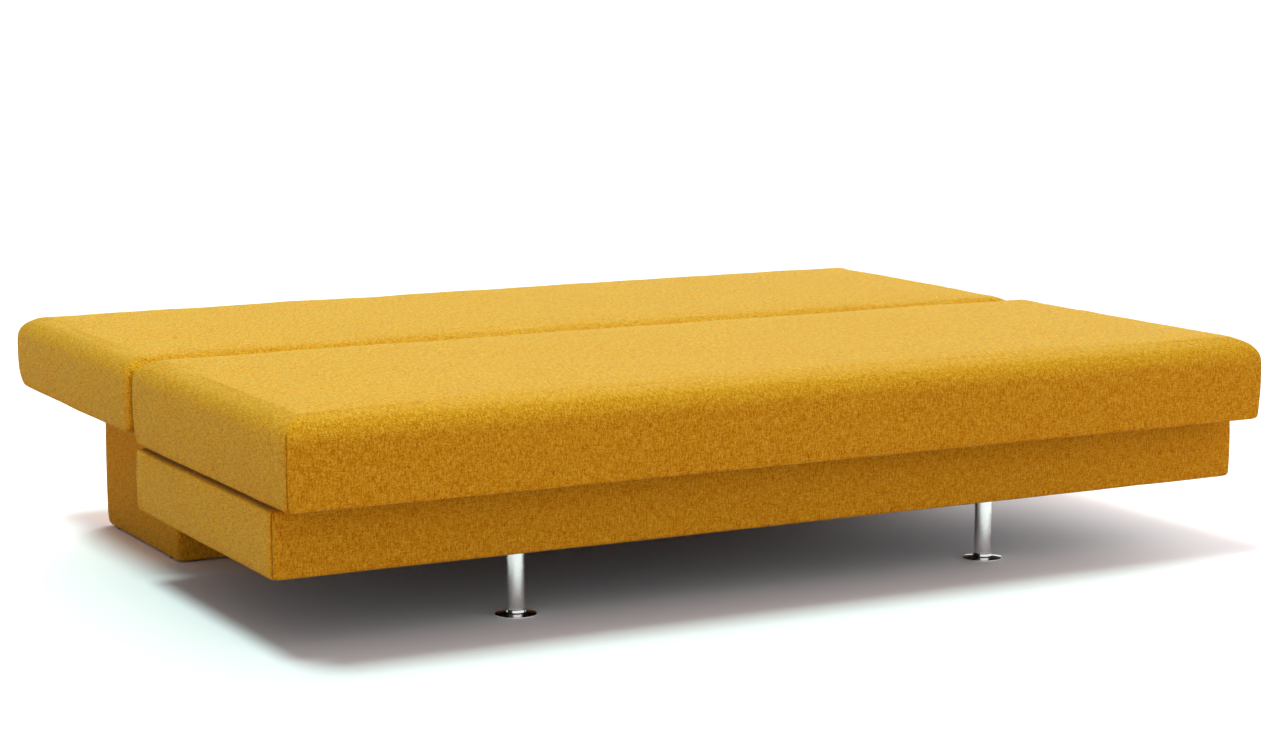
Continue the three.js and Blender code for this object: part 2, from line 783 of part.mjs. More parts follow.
function addPlinth(base) {
  const inside = plinthHalf - coverThickness;
  const inner = plateAcrossX(plinthSection(coverThickness), -inside, inside);
  const mouth = block(
    [-inside, plinthFrontY + coverThickness, plinthCoverLow - cutOverrun],
    [inside, plinthRearY - plinthHemRadius, plinthCoverLow + cutOverrun],
  );
  const cover = cutAway(plateAcrossX(plinthSection(0), -plinthHalf, plinthHalf), inner, mouth);
  addMesh(base, 'plinth_cover', cover, mustardCloth);

  const outerX = plinthHalf - coverInset;
  const innerX = outerX - boardThickness;
  const frontY = plinthFrontY + coverInset;
  const rearY = plinthRearY - coverInset;
  const low = glideHeight + fitGap;
  const topLow = plinthHeight - coverInset - boardThickness;
  const high = topLow - fitGap;
  const rearLow = plinthCoverLow + plinthHemRadius;
  const insideX = innerX - fitGap;
  const frontInnerY = frontY + boardThickness;
  const rearInnerY = rearY - boardThickness;
  const topHigh = topLow + boardThickness;
  addBoard(base, 'plinth_front_board', [-insideX, frontY, low], [insideX, frontInnerY, high], birchPly);
  addBoard(base, 'plinth_rear_board', [-insideX, rearInnerY, rearLow], [insideX, rearY, high], birchPly);
  addBoard(base, 'plinth_top_board', [-outerX, frontY, topLow], [outerX, rearY, topHigh], birchPly);
  for (const { side, hand } of ends) {
    const [lowX, highX] = span(side, innerX, outerX);
    const roomForTop = block(
      [lowX - cutOverrun, frontY - cutOverrun, high],
      [highX + cutOverrun, rearY + cutOverrun, plinthHeight],
    );
    const board = cutAway(plateAcrossX(plinthSection(coverInset), lowX, highX), roomForTop);
    addMesh(base, `plinth_${hand}_board`, board, birchPly);
    const glideX = side * (outerX - boardThickness / 2);
    const glides = [
      { place: 'front', y: plinthFrontY + glideInset },
      { place: 'rear', y: plinthRearY - glideInset },
    ];
    for (const { place, y } of glides) {
      const disc = standingDisc(glideDiameter, glideHeight, bufferSegments);
      const glide = addMesh(base, `plinth_${place}_${hand}_glide`, disc, blackRubber);
      glide.position.set(glideX, y, 0);
    }
  }
}

// Stretchers, legs and buffers

function addStretchers(base) {
  const lowY = boxRearY + fitGap;
  const highY = plinthFrontY - fitGap;
  const bar = stretcherSize / 2;
  const bore = bar - stretcherWall;
  const flange = stretcherFlangeSize / 2;
  for (const { side, hand } of ends) {
    const tube = block([-bar, lowY, -bar], [bar, highY, bar]);
    const frontFlange = block([-flange, lowY, -flange], [flange, lowY + stretcherFlangeThickness, flange]);
    const rearFlange = block([-flange, highY - stretcherFlangeThickness, -flange], [flange, highY, flange]);
    const hollow = block([-bore, lowY - cutOverrun, -bore], [bore, highY + cutOverrun, bore]);
    const stretcher = cutAway(joined(tube, frontFlange, rearFlange), hollow);
    const mesh = addMesh(base, `${hand}_stretcher`, stretcher, blackSteel);
    mesh.position.set(side * (plinthHalf - stretcherInset), 0, boxUnderside + stretcherRise);
  }
}

function legFoot() {
  const domeTop = footEdgeHeight + footDomeHeight;
  const collarTop = domeTop + collarHeight;
  const spigotRadius = legDiameter / 2 - legWall - fitGap;
  return turned([
    [0, 0],
    [footDiameter / 2, 0],
    [footDiameter / 2, footEdgeHeight],
    [collarDiameter / 2, domeTop],
    [collarTopDiameter / 2, collarTop],
    [spigotRadius, collarTop],
    [spigotRadius, collarTop + spigotHeight],
    [0, collarTop + spigotHeight],
  ]);
}

function legTube(low, high) {
  const outer = legDiameter / 2;
  const inner = outer - legWall;
  return turned([
    [inner, low],
    [outer, low],
    [outer, high],
    [inner, high],
    [inner, low],
  ]);
}

function addLegs(base) {
  const legY = boxFrontY + legSetback;
  const plateHigh = boxUnderside + coverThickness;
  const plateLow = plateHigh - legPlateThickness;
  const tubeLow = footEdgeHeight + footDomeHeight + collarHeight + fitGap;
  const plateHalf = legPlateSize / 2;
  for (const { side, hand } of ends) {
    const legX = side * legSpacingShare * bedHalf;
    const foot = addMesh(base, `${hand}_leg_foot`, legFoot(), chromedSteel);
    const tube = addMesh(base, `${hand}_leg_tube`, legTube(tubeLow, plateLow - fitGap), chromedSteel);
    foot.position.set(legX, legY, 0);
    tube.position.set(legX, legY, 0);
    addBoard(
      base,
      `${hand}_leg_plate`,
      [legX - plateHalf, legY - plateHalf, plateLow],
      [legX + plateHalf, legY + plateHalf, plateHigh],
      blackSteel,
    );
  }
}

// Each mattress rests on two rubber buffers, on the box's front board and on the plinth's top.
function addBuffers(base) {
  const rests = [
    { name: 'seat_buffer', y: boxFrontY + coverInset + boardThickness / 2, low: boxTop, high: seatUnderside },
    { name: 'back_buffer', y: (plinthFrontY + plinthRearY) / 2, low: plinthHeight, high: backUnderside },
  ];
  for (const { name, y, low, high } of rests) {
    for (const { side, hand } of ends) {
      const disc = standingDisc(bufferDiameter, high - low - 2 * fitGap, bufferSegments);
      const buffer = addMesh(base, `${hand}_${name}`, disc, blackRubber);
      buffer.position.set(side * (plinthHalf - bufferInset), y, low + fitGap);
    }
  }
}

function baseFrame() {
  const base = new THREE.Group();
  addBeddingBox(base);
  addPlinth(base);
  addStretchers(base);
  addLegs(base);
  addBuffers(base);
  for (const { side, hand } of ends) {
    addMesh(base, `${hand}_hinge_bracket`, hingeBracket(side), blackSteel);
    addMesh(base, `${hand}_hinge_ratchet`, ratchet(side), zincSteel);
    addMesh(base, `${hand}_hinge_pin`, pivotPin(side), zincSteel);
  }
  return base;
}

const sofaBed = new THREE.Group();
sofaBed.add(baseFrame(), seatHalf(), backHalf(), pawls());

export default sofaBed;
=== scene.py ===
"""Looks of the click clack sofa bed: cloth mattresses, cloth covers, legs, finishes and a studio."""

import math

import bpy
import numpy as np
from bpy.props import FloatProperty, FloatVectorProperty, IntProperty, PointerProperty
from bpy.types import Operator, Panel, PropertyGroup
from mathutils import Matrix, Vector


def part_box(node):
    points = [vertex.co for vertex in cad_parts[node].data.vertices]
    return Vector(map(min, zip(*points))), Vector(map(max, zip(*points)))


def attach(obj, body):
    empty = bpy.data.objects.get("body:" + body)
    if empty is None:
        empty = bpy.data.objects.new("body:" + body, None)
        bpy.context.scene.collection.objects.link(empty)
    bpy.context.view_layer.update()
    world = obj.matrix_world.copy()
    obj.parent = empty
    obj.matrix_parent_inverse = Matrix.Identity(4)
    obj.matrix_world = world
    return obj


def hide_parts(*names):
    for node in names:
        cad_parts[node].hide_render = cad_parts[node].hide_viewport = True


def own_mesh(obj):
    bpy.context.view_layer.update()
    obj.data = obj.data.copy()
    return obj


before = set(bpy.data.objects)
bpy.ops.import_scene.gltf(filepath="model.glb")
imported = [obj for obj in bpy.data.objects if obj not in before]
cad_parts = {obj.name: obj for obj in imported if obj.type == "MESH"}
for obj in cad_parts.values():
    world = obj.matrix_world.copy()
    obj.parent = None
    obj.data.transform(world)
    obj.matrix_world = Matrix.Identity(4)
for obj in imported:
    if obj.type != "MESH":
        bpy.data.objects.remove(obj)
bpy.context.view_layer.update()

bl_info = {
    "name": "Click Clack Sofa Bed",
    "version": (1, 0, 0),
    "blender": (4, 5, 0),
    "location": "3D View > Sidebar > Sofa Bed",
    "description": "Builds the upholstery, legs and finishes of a click clack sofa bed round its frame",
    "category": "Object",
}

MM = 0.001
SEAM_START = 0.002  # an upright seam starts this far above the base
SEAM_END = 0.55  # and ends this share of the smallest top radius below the top
FIT_GAP = 0.3 * MM  # room that one piece leaves another
AIR = 4.0  # pressure of the air that fills a mattress
FRAMES = 20  # steps of the cloth simulation
BEYOND = 0.02  # how far a room runs on past an open face


# Sizes and colours

def length(name, description, default, least=0.0):
    """A size in metres for the panel."""
    return FloatProperty(name=name, description=description, default=default, min=least,
                         precision=4, unit="LENGTH", subtype="DISTANCE")


def share(name, description, default, most=1.0):
    """A number from nothing to its most."""
    return FloatProperty(name=name, description=description, default=default, min=0.0, max=most,
                         subtype="FACTOR")


def colour(name, description, default):
    """A linear colour."""
    return FloatVectorProperty(name=name, description=description, default=default, size=3,
                               min=0.0, max=1.0, subtype="COLOR")


def angle(name, description, degrees):
    """An angle, given in degrees."""
    return FloatProperty(name=name, description=description, default=math.radians(degrees),
                         unit="ROTATION", subtype="ANGLE")


class ClothSettings(PropertyGroup):
    thread: length("Thread", "Distance from one thread of the weave to the next", 0.0021)
    streak: length("Streak", "Length over which a thread keeps its shade", 0.015)
    relief: length("Relief", "Height of the weave", 0.0007)
    deep: colour("Deep thread", "Darkest threads", (0.48, 0.125, 0.001))
    golden: colour("Golden thread", "Commonest threads", (0.72, 0.318, 0.007))
    pale: colour("Pale thread", "Lightest threads", (0.87, 0.52, 0.048))
    sheen: share("Sheen", "Light caught by the fuzz at a low angle", 1.0)
    sheen_roughness: share("Sheen roughness", "How far from a low angle the fuzz still shows", 0.065)
    sheen_tint: colour("Sheen tint", "Colour of the fuzz", (0.2, 1.0, 0.48))
    # Painted shade: how far the cloth's colour is darkened along a sewn seam, where shade falls in its
    # groove
    seam_painted_shade: share("Seam shade", "How much a sewn seam darkens the cloth", 0.6)


class MattressSettings(PropertyGroup):
    seat_rise: length("Seat rise", "How far the seat's filling lifts its top", 0.0085)
    back_rise: length("Back rise", "How far the back's filling lifts its top", 0.004)
    spread: length("Spread", "How far the filling pushes the ends and the rear out", 0.003)
    crown: length("Crown", "Rise of the middle above the edges", 0.0045)
    belly: length("Belly", "Bulge of the walls at half height", 0.003)
    swell: length("Swell", "Most that the filling pushes the cover out", 0.0025)
    outer_edge: length("Outer edge", "Radius of the top edge away from the middle seam", 0.045)
    seam_edge: length("Seam edge", "Radius of the seat's top edge at the middle seam", 0.042)
    back_edge: length("Back edge", "Radius of the back's top edge at the middle seam", 0.054)
    seat_press: share("Seat press", "Depth left when the back presses the lifted seat", 0.971)
    end_edge: length("End edge", "Radius of the top edge at both ends", 0.038)
    front_hem: length("Front hem", "Radius of the lower edge at the front and the ends", 0.007)
    seam_hem: length("Seam hem", "Radius of the lower edge at the middle seam", 0.027)
    rear_hem: length("Rear hem", "Radius of the lower edge at the rear", 0.046)
    front_corner: length("Front corner", "Radius of the upright corners at the front", 0.009)
    seam_corner: length("Seam corner", "Radius of the seat's upright corners at the middle seam", 0.016)
    back_corner: length("Back corner", "Radius of the back's upright corners at the middle seam", 0.027)
    rear_corner: length("Rear corner", "Radius of the upright corners at the rear", 0.015)
    groove: length("Groove", "Depth of a sewn seam", 0.0022)
    cell: length("Cell", "Distance between points of the form", 0.016, 0.004)
    unevenness: length("Unevenness", "Slight waviness of stuffed cloth", 0.0008)


class CoverSettings(PropertyGroup):
    wall: length("Wall", "Thickness of the cloth and its wadding", 0.004)
    box_ends: length("Box ends", "Extra wadding on the ends of the bedding box", 0.005)
    lip: length("Lip", "Width of cloth that turns in over the boards", 0.024)
    top_edge: length("Top edge", "Radius of the top edges at the front and the ends", 0.006)
    rear_top: length("Rear top edge", "Radius of the top edge at the rear", 0.012)
    hem: length("Hem", "Radius of the lower edges", 0.008)
    corner: length("Corner", "Radius of the upright corners", 0.009)
    rear_hem: length("Rear hem", "Radius of the plinth's lower rear edge", 0.026)
    belly: length("Belly", "Bulge of the walls at half height", 0.0012)
    groove: length("Groove", "Depth of a sewn seam", 0.0016)
    cell: length("Cell", "Distance between points of the form", 0.018, 0.004)
    unevenness: length("Unevenness", "Slight waviness of the cloth", 0.0004)


class LegSettings(PropertyGroup):
    tube_radius: length("Tube radius", "Outer radius of a leg tube", 0.016)
    tube_wall: length("Tube wall", "Wall of a leg tube", 0.002)
    foot_radius: length("Foot radius", "Outer radius of a disc foot", 0.0375)
    foot_edge: length("Foot edge", "Height of the disc at its rim", 0.003)
    foot_dome: length("Foot dome", "Rise of the disc from its rim to the collar", 0.003)
    collar_radius: length("Collar radius", "Radius of the collar at its foot", 0.0185)
    collar_top: length("Collar top", "Radius of the collar at its top", 0.017)
    collar_height: length("Collar height", "Height of the collar", 0.005)
    steps: IntProperty(name="Steps", description="Points round a turned piece", default=128, min=24)


class StageSettings(PropertyGroup):
    camera: FloatVectorProperty(name="Camera", description="Place of the camera", size=3, unit="LENGTH",
                                default=(-2.666, -5.038, 1.175))
    yaw: angle("Yaw", "Turn of the camera to the right of straight back", 28.288)
    pitch: angle("Pitch", "How far the camera looks down", 8.459)
    lens: FloatProperty(name="Lens", description="Focal length on a 36 mm wide sensor", default=81.58)
    sun: FloatProperty(name="Sun", description="Strength of the soft light from above", default=2.25)
    sun_colour: colour("Sun colour", "Colour of the soft light", (0.73, 1.0, 0.95))
    sun_size: angle("Sun size", "Angle that the soft light fills", 22)
    sky: FloatProperty(name="Sky", description="Strength of the light from all round", default=0.74)
    left: FloatProperty(name="Left", description="How much weaker light from the left is", default=1.4)
    rear: FloatProperty(name="Rear", description="Extra light from behind the right end", default=14.0)
    sun_tilt: FloatVectorProperty(name="Sun tilt", description="Turns of the soft light", size=3,
                                  unit="ROTATION", subtype="EULER",
                                  default=(math.radians(-4), math.radians(-11), 0.0))
    floor_bounce: colour("Floor bounce", "Colour of the light from the floor", (0.58, 0.385, 0.35))
    floor_white: colour("Floor white", "Colour of the floor to the camera", (1.0, 0.97, 0.985))


class SofaBedSettings(PropertyGroup):
    cloth: PointerProperty(type=ClothSettings)
    mattress: PointerProperty(type=MattressSettings)
    cover: PointerProperty(type=CoverSettings)
    leg: PointerProperty(type=LegSettings)
    stage: PointerProperty(type=StageSettings)


def settings():
    return bpy.context.scene.sofa_bed


# Shader maths

class Wire:
    """A socket of a material's nodes. Arithmetic on it adds Math nodes."""

    def __init__(self, finish, socket):
        self.finish = finish
        self.socket = socket

    def math(self, operation, *others):
        return self.finish.math(operation, self, *others)

    def __add__(self, other):
        return self.finish.math("ADD", self, other)

    def __radd__(self, other):
        return self.finish.math("ADD", other, self)

    def __sub__(self, other):
        return self.finish.math("SUBTRACT", self, other)

    def __rsub__(self, other):
        return self.finish.math("SUBTRACT", other, self)

    def __mul__(self, other):
        return self.finish.math("MULTIPLY", self, other)

    def __rmul__(self, other):
        return self.finish.math("MULTIPLY", other, self)

    def __truediv__(self, other):
        return self.finish.math("DIVIDE", self, other)

    def __pow__(self, other):
        return self.finish.math("POWER", self, other)


class Finish:
    """A material or world under construction."""

    def __init__(self, name, world=None):
        self.material = world or bpy.data.materials.new(name)
        self.material.use_nodes = True
        self.tree = self.material.node_tree
        self.tree.nodes.clear()

    def node(self, kind, choices=None, values=None):
        """Adds a node, sets its choices, then fills or links its sockets."""
        node = self.tree.nodes.new(kind)
        for name, choice in (choices or {}).items():
            setattr(node, name, choice)
        for name, value in (values or {}).items():
            socket = node.inputs[name]
            if isinstance(value, Wire):
                self.tree.links.new(value.socket, socket)
            else:
                socket.default_value = value
        return node

    def wire(self, kind, choices=None, values=None, output=0):
        return Wire(self, self.node(kind, choices, values).outputs[output])

    def math(self, operation, *values):
        return self.wire("ShaderNodeMath", {"operation": operation}, dict(enumerate(values)))

    def point(self, x, y, z=0.0):
        return self.wire("ShaderNodeCombineXYZ", values={0: x, 1: y, 2: z})

    def parts(self, vector):
        """The three parts of a vector."""
        node = self.node("ShaderNodeSeparateXYZ", values={0: vector})
        return [Wire(self, socket) for socket in node.outputs]

    def place(self):
        """The place on the object, in its own metres."""
        return self.wire("ShaderNodeTexCoord", output=3)

    def stretched(self, vector, scale):
        return self.wire("ShaderNodeMapping", values={"Vector": vector, "Scale": tuple(scale)})

    def relief(self, strength, distance, height):
        values = {"Strength": strength, "Distance": distance, "Height": height}
        return self.wire("ShaderNodeBump", values=values)

    def seen_by(self, *rays):
        """One where any of these kinds of ray looks, and zero elsewhere."""
        path = self.node("ShaderNodeLightPath")
        found = [Wire(self, path.outputs[f"Is {ray} Ray"]) for ray in rays]
        while len(found) > 1:
            found.append(found.pop(0).math("MAXIMUM", found.pop(0)))
        return found[0]

    def noise(self, place, scale, detail=2.0, roughness=0.5):
        values = {"Vector": place, "Scale": scale, "Detail": detail, "Roughness": roughness}
        return self.wire("ShaderNodeTexNoise", {"noise_dimensions": "3D"}, values)

    def spread(self, value, low, high, to_low=0.0, to_high=1.0):
        """Carries a value from one range to another, smoothly and without overshoot."""
        values = {0: value, 1: low, 2: high, 3: to_low, 4: to_high}
        return self.wire("ShaderNodeMapRange", {"interpolation_type": "SMOOTHSTEP"}, values)

    def blend(self, factor, first, second):
        """A colour between two colours."""
        node = self.node("ShaderNodeMix", {"data_type": "RGBA"})
        for number, value in ((0, factor), (6, first), (7, second)):
            socket = node.inputs[number]
            if isinstance(value, Wire):
                self.tree.links.new(value.socket, socket)
            else:
                socket.default_value = value if isinstance(value, (int, float)) else (*value[:3], 1.0)
        return Wire(self, node.outputs[2])

    def close(self, base, roughness, normal=None, metallic=0.0, **constants):
        """Ends the material in one Principled shader."""
        values = {"Roughness": roughness, "Metallic": metallic}
        values["Base Color"] = base if isinstance(base, Wire) else (*base[:3], 1.0)
        if normal is not None:
            values["Normal"] = normal
        for name, value in constants.items():
            values[name.replace("_", " ").title().replace("Ior", "IOR")] = value
        shader = self.wire("ShaderNodeBsdfPrincipled", values=values)
        self.node("ShaderNodeOutputMaterial", values={"Surface": shader})
        return self.material


def woven_cloth(name):
    """Plain weave of slubby flecked threads, read from the piece's cloth map.

    Threads i and j cross where the map's places over the thread distance fall. The upper thread of a
    crossing is the warp where i + j is even. A thread's height is the root of one less its offset
    squared, lower where it dives. Each thread has a shade of its own that drifts along it.
    """
    cloth = settings().cloth
    f = Finish(name)
    place = f.wire("ShaderNodeUVMap", {"uv_map": "cloth"})
    wander = f.noise(place, 60.0, 2.0) * 0.9
    u, v, _ = f.parts(place)
    across = u / cloth.thread + wander
    along = v / cloth.thread + wander
    i, j = across.math("FLOOR"), along.math("FLOOR")
    warp_offset = (across - i) * 2.0 - 1.0
    weft_offset = (along - j) * 2.0 - 1.0
    warp_bulge = 1.0 - warp_offset * warp_offset
    weft_bulge = 1.0 - weft_offset * weft_offset
    warp_height = warp_bulge ** 0.5 * (0.5 + 0.5 * weft_bulge)
    weft_height = weft_bulge ** 0.5 * (0.5 + 0.5 * warp_bulge)
    warp_up = (i + j).math("FLOORED_MODULO", 2.0)
    height = weft_height + (warp_height - weft_height) * warp_up

    drift, next_thread = 1.0 / cloth.streak, 0.71
    warp_shade = f.noise(f.point(i * next_thread, v * drift), 1.0, 2.0, 0.6)
    weft_shade = f.noise(f.point(u * drift, j * next_thread, 9.0), 1.0, 2.0, 0.6)
    shade = weft_shade + (warp_shade - weft_shade) * warp_up
    narrow, drawn = 430.0, 60.0  # changes per metre across and along a bundle
    bundle = f.noise(f.point(u * narrow, v * drawn, 3.0), 1.0, 1.0, 0.6)
    band = f.noise(f.point(u * drawn, v * narrow, 5.0), 1.0, 1.0, 0.6)
    fleck = f.wire("ShaderNodeTexWhiteNoise", {"noise_dimensions": "2D"}, {"Vector": f.point(i, j)})
    cloud = f.noise(place, 5.0, 2.0)
    tone = shade * 0.65 + bundle * 0.9 + band * 0.45 + fleck * 0.5 + cloud * 0.05 - 0.775
    # Painted shade: the tone follows the thread's height, darker where a thread dives and lighter on its
    # crown
    tone = tone + (height - 0.6) * 0.4
    dark = f.blend(f.spread(tone, 0.05, 0.52), cloth.deep, cloth.golden)
    base = f.blend(f.spread(tone, 0.48, 0.95), dark, cloth.pale)
    # Painted shade: the seam mark blends the cloth towards a dim deep thread colour along the seams'
    # grooves
    seam = f.wire("ShaderNodeAttribute", {"attribute_name": "seam"}, output=2)
    base = f.blend(seam * cloth.seam_painted_shade, base, [0.35 * value for value in cloth.deep])
    fibre = f.noise(place, 2600.0, 2.0)
    relief = f.relief(0.85, cloth.relief, height + fibre * 0.35 + shade * 0.5)
    roughness = 0.98 - height * 0.12
    return f.close(
        base, roughness, relief, specular_ior_level=0.05, sheen_weight=cloth.sheen,
        sheen_roughness=cloth.sheen_roughness, sheen_tint=(*cloth.sheen_tint, 1.0),
    )


# Surfaces

def arc_inset(rise, radius):
    """Radius less the root of radius squared less rise squared, and zero before the arc starts."""
    rise = np.clip(rise, 0.0, radius)
    return radius - np.sqrt(np.maximum(radius * radius - rise * rise, 0.0))


def wall_inset(z, low, high, hem, top, belly):
    """How far a wall stands in at a height: its round hem, its belly and its round top edge."""
    across = 2.0 * (z - low) / (high - low) - 1.0
    return belly * across ** 2 + arc_inset(low + hem - z, hem) + arc_inset(z - high + top, top)


def ring_levels(low, high, hems, tops, cell, steps=7):
    """Heights of the rings: even turns round each hem and top edge, and even steps between them."""
    turn = np.linspace(0.0, math.pi / 2, steps)
    marks = [low + hem * (1 - np.cos(turn)) for hem in hems]
    marks += [high - top * (1 - np.cos(turn)) for top in tops]
    marks = np.sort(np.concatenate(marks))
    least = min(cell / 7, min(hems) / 4)
    kept = [low]
    for mark in marks:
        if mark - kept[-1] > least and high - mark > least:
            kept.append(mark)
    kept.append(high)
    counts = [max(1, math.ceil((b - a) / cell)) for a, b in zip(kept, kept[1:])]
    runs = [np.linspace(a, b, count + 1)[:-1] for a, b, count in zip(kept, kept[1:], counts)]
    return np.append(np.concatenate(runs), high)


def arc(centre, radius, start, end, steps):
    """Places on an arc as complex numbers: centre plus radius times the turn, without its last point."""
    turn = np.radians(np.linspace(start, end, steps + 1))[:-1]
    return centre[:, None] + radius * np.exp(1j * turn)[None, :]


def line(start, end, steps):
    """Even steps from start to end as complex numbers, without the last point."""
    share_along = np.linspace(0.0, 1.0, steps + 1)[:-1]
    return start[:, None] + (end - start)[:, None] * share_along[None, :]


def filled(front, right, rear, left):
    """A grid between four edges: the two blends of opposite edges, less the blend of the corners."""
    u = ((front.real - front[0].real) / (front[-1].real - front[0].real))[:, None]
    v = ((left.imag - left[0].imag) / (left[-1].imag - left[0].imag))[None, :]
    edges = (1 - v) * front[:, None] + v * rear[:, None] + (1 - u) * left[None, :] + u * right[None, :]
    corners = (1 - u) * (1 - v) * front[0] + u * (1 - v) * front[-1]
    return edges - corners - (1 - u) * v * rear[0] - u * v * rear[-1], u, v


def outlines(x, y, corners, along, deep, turns):
    """Rings as complex numbers, from the front left corner anticlockwise: four lines and four arcs.

    The lines stand at x and y, and the front and rear corners have the two radii of corners.
    """
    (left, right), (near, far), (front, rear) = x, y, corners
    fl, fr = left + front + 1j * (near + front), right - front + 1j * (near + front)
    rl, rr = left + rear + 1j * (far - rear), right - rear + 1j * (far - rear)
    return np.concatenate([
        arc(fl, front, 225, 270, turns), line(fl - 1j * front, fr - 1j * front, along),
        arc(fr, front, 270, 315, turns), arc(fr, front, 315, 360, turns),
        line(fr + front, rr + rear, deep), arc(rr, rear, 0, 45, turns), arc(rr, rear, 45, 90, turns),
        line(rr + 1j * rear, rl + 1j * rear, along), arc(rl, rear, 90, 135, turns),
        arc(rl, rear, 135, 180, turns), line(rl - rear, fl - front, deep), arc(fl, front, 180, 225, turns),
    ], axis=1)


def quads_between(rows, after):
    """Faces from each row of points to the next, round the ring."""
    return np.stack([rows[:-1], after[:-1], after[1:], rows[1:]], -1).reshape(-1, 4)


def cap(ring, sides, first, total, level, crown, upward):
    """A grid that closes a ring: its inner points, and its faces in the numbers of the whole form.

    A top rises by crown times one less the eighth power of the place along X, times one less the sixth
    power of the place along Y.
    """
    grid, u, v = filled(*(ring[side] for side in sides))
    inner = (grid.shape[0] - 2, grid.shape[1] - 2)
    index = np.empty(grid.shape, int)
    index[:, 0], index[-1, :], index[:, -1], index[0, :] = (first + side for side in sides)
    index[1:-1, 1:-1] = total + np.arange(inner[0] * inner[1]).reshape(inner)
    rise = crown * (1 - (2 * u - 1) ** 8) * (1 - (2 * v - 1) ** 6) if upward else 0.0
    height = np.broadcast_to(level + rise, grid.shape)
    points = np.stack([grid.real, grid.imag, height], -1)[1:-1, 1:-1].reshape(-1, 3)
    quads = np.stack([index[:-1, :-1], index[1:, :-1], index[1:, 1:], index[:-1, 1:]], -1)
    return points, (quads if upward else quads[..., ::-1]).reshape(-1, 4)


def padded_block(name, low, high, shape):
    """A closed block with round edges: outlines at rising heights, closed by a grid at each end.

    Returns the object, its upright seam points and the points that the base holds.
    """
    cell, turns = shape["cell"], shape["corner_steps"]
    hems = [shape[key] for key in ("front_hem", "rear_hem", "end_hem")]
    tops = [shape[key] for key in ("front_top", "rear_top", "end_top")]
    z = ring_levels(low[2], high[2], sorted(set(hems)), sorted(set(tops)), cell)
    front, rear, end = (wall_inset(z, low[2], high[2], hem, top, shape["belly"])
                        for hem, top in zip(hems, tops))
    along, deep = (max(4, round((high[axis] - low[axis]) / cell)) for axis in (0, 1))
    x, y = (low[0] + end, high[0] - end), (low[1] + front, high[1] - rear)
    rings = outlines(x, y, (shape["front_corner"], shape["rear_corner"]), along, deep, turns)
    levels, count = rings.shape
    a, b = along + 2 * turns, deep + 2 * turns
    sides = [np.arange(0, a + 1), np.arange(a, a + b + 1),
             np.arange(a + b, 2 * a + b + 1)[::-1], np.append(np.arange(2 * a + b, count), 0)[::-1]]
    height = np.broadcast_to(z[:, None], rings.shape)
    points = [np.stack([rings.real, rings.imag, height], -1).reshape(-1, 3)]
    starts, column = (np.arange(levels) * count)[:, None], np.arange(count)
    faces = [quads_between(starts + column, starts + (column + 1) % count)]
    total = levels * count
    for level, upward in ((levels - 1, True), (0, False)):
        more, quads = cap(rings[level], sides, level * count, total, z[level], shape["crown"], upward)
        points.append(more)
        faces.append(quads)
        total += len(more)
    mesh = bpy.data.meshes.new(name)
    mesh.from_pydata(np.concatenate(points), [], np.concatenate(faces).tolist())
    mesh.validate()
    rows = np.arange(levels)[(z > low[2] + SEAM_START) & (z < high[2] - SEAM_END * min(tops))]
    upright = (rows[:, None] * count + np.array([0, a, a + b, 2 * a + b])[None, :]).ravel()
    held = np.concatenate([column, np.arange(total - len(more), total)])
    return linked(name, mesh), upright, held


def linked(name, mesh):
    """A new object of the scene with this mesh."""
    obj = bpy.data.objects.new(name, mesh)
    bpy.context.scene.collection.objects.link(obj)
    return obj


def coordinates(mesh):
    """A mesh's points as an array of rows."""
    flat = np.empty(3 * len(mesh.vertices))
    mesh.vertices.foreach_get("co", flat)
    return flat.reshape(-1, 3)


def place_points(mesh, points):
    mesh.vertices.foreach_set("co", np.asarray(points, float).ravel())
    mesh.update()


def normals(mesh):
    flat = np.empty(3 * len(mesh.vertices))
    mesh.vertices.foreach_get("normal", flat)
    return flat.reshape(-1, 3)


def press_seams(obj, upright, groove):
    """Sinks the seam points along their normals and marks them for the painted shade that darkens the
    cloth along its seams.
    """
    mesh = obj.data
    points = coordinates(mesh)
    points[upright] -= normals(mesh)[upright] * groove
    place_points(mesh, points)
    mark = np.zeros(len(points))
    mark[upright] = 1.0
    seam = mesh.attributes.new("seam", "FLOAT", "POINT")
    seam.data.foreach_set("value", mark)


def waves(points, size, seed, reach=0.16):
    """Soft unevenness: a third of the sum of nine sine waves with seeded directions."""
    rng = np.random.default_rng(seed)
    total = np.zeros(len(points))
    for _ in range(9):
        direction = rng.normal(size=3)
        direction *= 2 * math.pi / (np.linalg.norm(direction) * reach * rng.uniform(0.6, 2.2))
        total += np.sin(points @ direction + rng.uniform(0, 2 * math.pi))
    return size * total / 3


